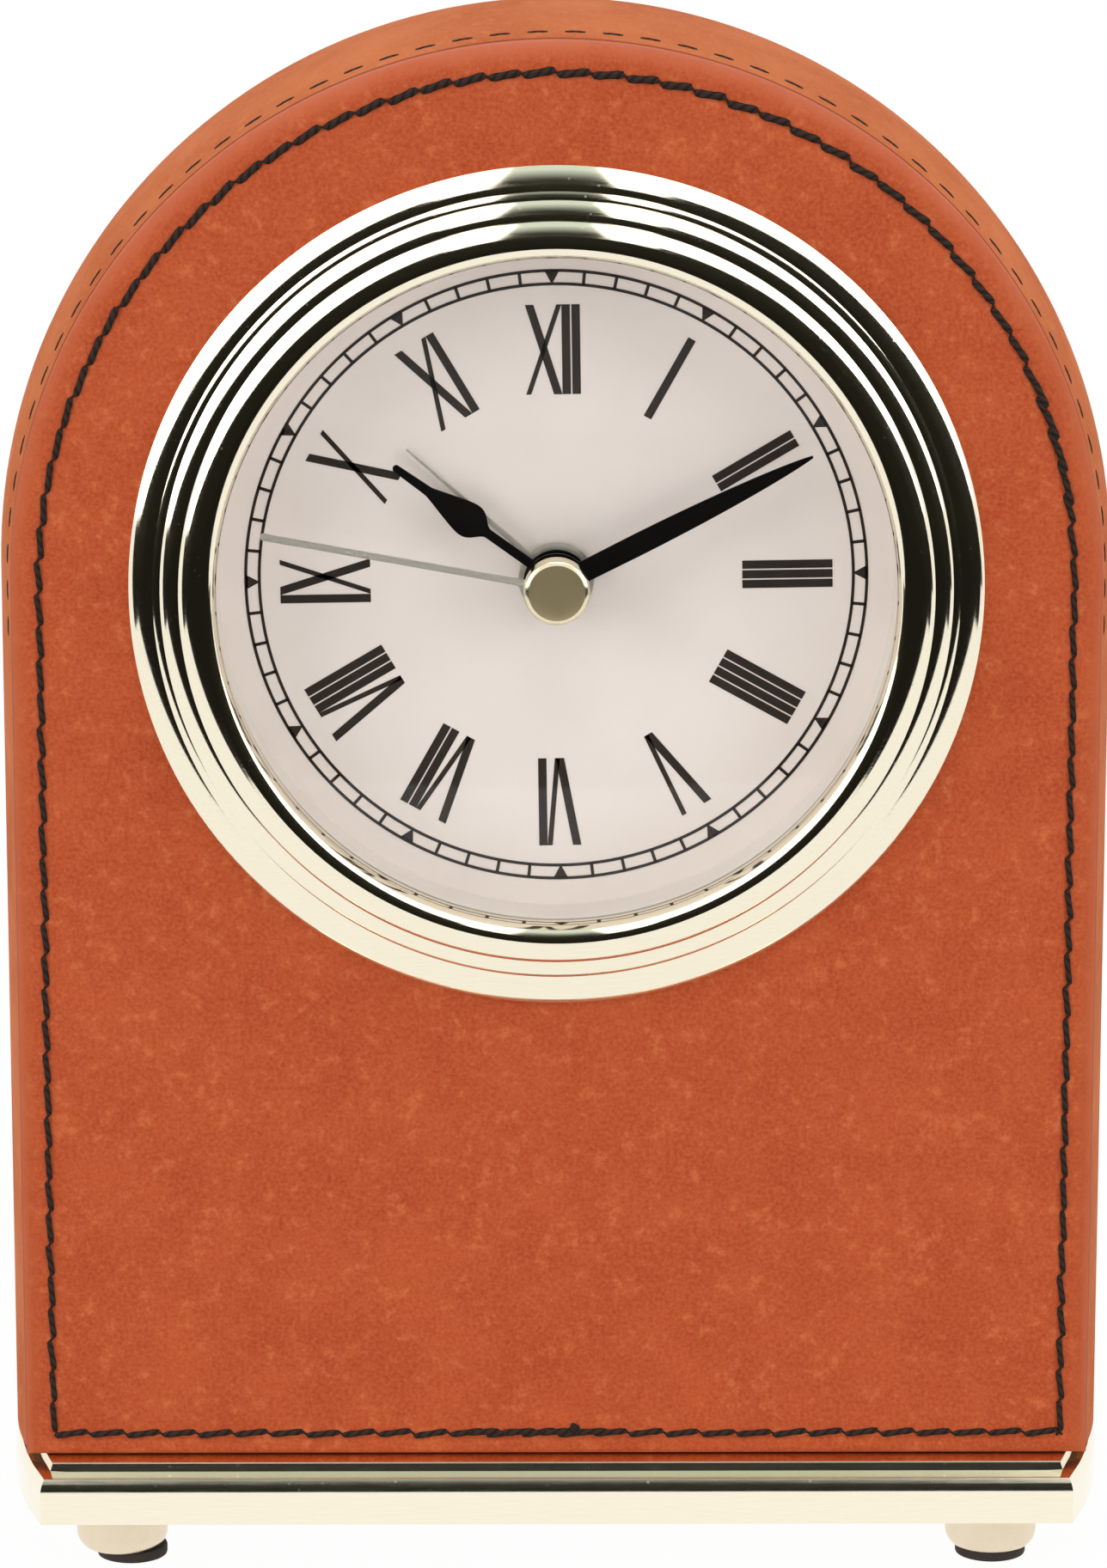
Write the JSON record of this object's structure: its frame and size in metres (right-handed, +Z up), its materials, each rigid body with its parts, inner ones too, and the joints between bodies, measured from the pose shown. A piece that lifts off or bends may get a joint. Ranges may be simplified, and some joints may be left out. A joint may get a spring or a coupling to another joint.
{
  "type": "arched desk alarm clock",
  "caption": "Round-topped leather-covered desk alarm clock with a turned metal bezel, Roman dial, quartz movement and a stepped metal base on small feet.",
  "frame": {"origin": "centre of the whole clock's footprint, on the table under its feet", "axes": "+Z up, the dial faces -Y, +X to the right as seen from the front"},
  "size_m": [0.1062, 0.043, 0.149],
  "materials": {
    "polished_gold": "polished",
    "cap_metal": "brushed face, polished rim",
    "front_leather": "nubuck grain",
    "band_leather": "nubuck grain",
    "back_leather": "leather-covered board",
    "fibre_board": "raw fibreboard",
    "foot_rubber": "matte",
    "clear_glass": "clear",
    "dial_paint": "satin paint",
    "ring_plastic": "satin",
    "black_plastic": "fine texture",
    "white_plastic": "moulded",
    "steel": "plain",
    "magnet": "dark",
    "copper_wire": "enamelled",
    "circuit": "solder mask",
    "sounder": "plain",
    "cell_jacket": "printed jacket, left plain",
    "hand_black": "gloss paint",
    "hand_silver": "satin"
  },
  "bodies": {
    "case": {"base_plate": "polished_gold", "bezel": "polished_gold", "foot_front_left": "polished_gold", "foot_front_right": "polished_gold", "foot_rear_left": "polished_gold", "foot_rear_right": "polished_gold", "front_leather": "front_leather", "band_leather": "band_leather", "back_panel": "back_leather", "case_shell": "fibre_board", "foot_pad_front_left": "foot_rubber", "foot_pad_front_right": "foot_rubber", "foot_pad_rear_left": "foot_rubber", "foot_pad_rear_right": "foot_rubber", "lens": "clear_glass", "dial": "dial_paint", "dial_ring": "ring_plastic", "insert_cup": "black_plastic", "movement_housing": "black_plastic", "movement_cover": "black_plastic", "plate_spacers": "black_plastic", "train_plate": "white_plastic", "foot_screws": "steel", "base_screws": "steel", "cover_screws": "steel", "insert_screws": "steel", "insert_clips": "steel", "battery_contacts": "steel", "quartz_crystal": "steel", "stator": "steel", "coil": "copper_wire", "circuit_board": "circuit", "buzzer": "sounder"},
    "seconds": {"second_wheel": "white_plastic", "second_hand": "hand_silver", "second_hand_cap": "cap_metal"},
    "rotor": {"rotor": "magnet"},
    "intermediate": {"intermediate_wheel": "white_plastic"},
    "third": {"third_wheel": "white_plastic"},
    "minutes": {"centre_wheel": "white_plastic", "minute_hand": "hand_black"},
    "motion": {"motion_wheel": "white_plastic"},
    "hours": {"hour_wheel": "white_plastic", "hour_hand": "hand_black"},
    "time_knob": {"time_set_knob": "black_plastic"},
    "alarm": {"alarm_wheel": "white_plastic", "alarm_hand": "hand_silver"},
    "alarm_knob": {"alarm_set_knob": "black_plastic"},
    "switch": {"alarm_switch": "white_plastic"},
    "cell": {"battery": "cell_jacket"}
  },
  "joints": [
    {"name": "second_hand_turn", "type": "hinge", "parent": "case", "child": "seconds", "pos_m": [0, 0, 0.0961], "axis": [0, 1, 0], "continuous": true},
    {"name": "rotor_turn", "type": "hinge", "parent": "case", "child": "rotor", "pos_m": [0, 0, 0.11494], "axis": [0, 1, 0], "continuous": true},
    {"name": "intermediate_turn", "type": "hinge", "parent": "case", "child": "intermediate", "pos_m": [0, 0, 0.1057], "axis": [0, 1, 0], "continuous": true},
    {"name": "third_wheel_turn", "type": "hinge", "parent": "case", "child": "third", "pos_m": [-0.00842, 0, 0.10096], "axis": [0, 1, 0], "continuous": true},
    {"name": "minute_hand_turn", "type": "hinge", "parent": "case", "child": "minutes", "pos_m": [0, 0, 0.0961], "axis": [0, 1, 0], "continuous": true},
    {"name": "motion_wheel_turn", "type": "hinge", "parent": "case", "child": "motion", "pos_m": [0.00814, 0, 0.1008], "axis": [0, 1, 0], "continuous": true},
    {"name": "hour_hand_turn", "type": "hinge", "parent": "case", "child": "hours", "pos_m": [0, 0, 0.0961], "axis": [0, 1, 0], "continuous": true},
    {"name": "time_set_knob_turn", "type": "hinge", "parent": "case", "child": "time_knob", "pos_m": [0.01534, 0, 0.09476], "axis": [0, 1, 0], "continuous": true},
    {"name": "alarm_hand_turn", "type": "hinge", "parent": "case", "child": "alarm", "pos_m": [0, 0, 0.0961], "axis": [0, 1, 0], "continuous": true},
    {"name": "alarm_set_knob_turn", "type": "hinge", "parent": "case", "child": "alarm_knob", "pos_m": [-0.00885, 0, 0.08991], "axis": [0, 1, 0], "continuous": true},
    {"name": "alarm_switch_slide", "type": "slide", "parent": "case", "child": "switch", "axis": [0, 0, 1], "range_m": [0, 0.004]},
    {"name": "battery_lift_out", "type": "slide", "parent": "case", "child": "cell", "axis": [0, 1, 0], "range_m": [0, 0.03]}
  ],
  "couplings": [
    {"joint": "rotor_turn", "follows": "second_hand_turn", "ratio": 30},
    {"joint": "intermediate_turn", "follows": "second_hand_turn", "ratio": -5},
    {"joint": "third_wheel_turn", "follows": "second_hand_turn", "ratio": -0.125},
    {"joint": "minute_hand_turn", "follows": "second_hand_turn", "ratio": 0.016667},
    {"joint": "motion_wheel_turn", "follows": "second_hand_turn", "ratio": -0.0055556},
    {"joint": "hour_hand_turn", "follows": "second_hand_turn", "ratio": 0.0013889},
    {"joint": "time_set_knob_turn", "follows": "second_hand_turn", "ratio": 0.016667},
    {"joint": "alarm_set_knob_turn", "follows": "alarm_hand_turn", "ratio": -3}
  ]
}
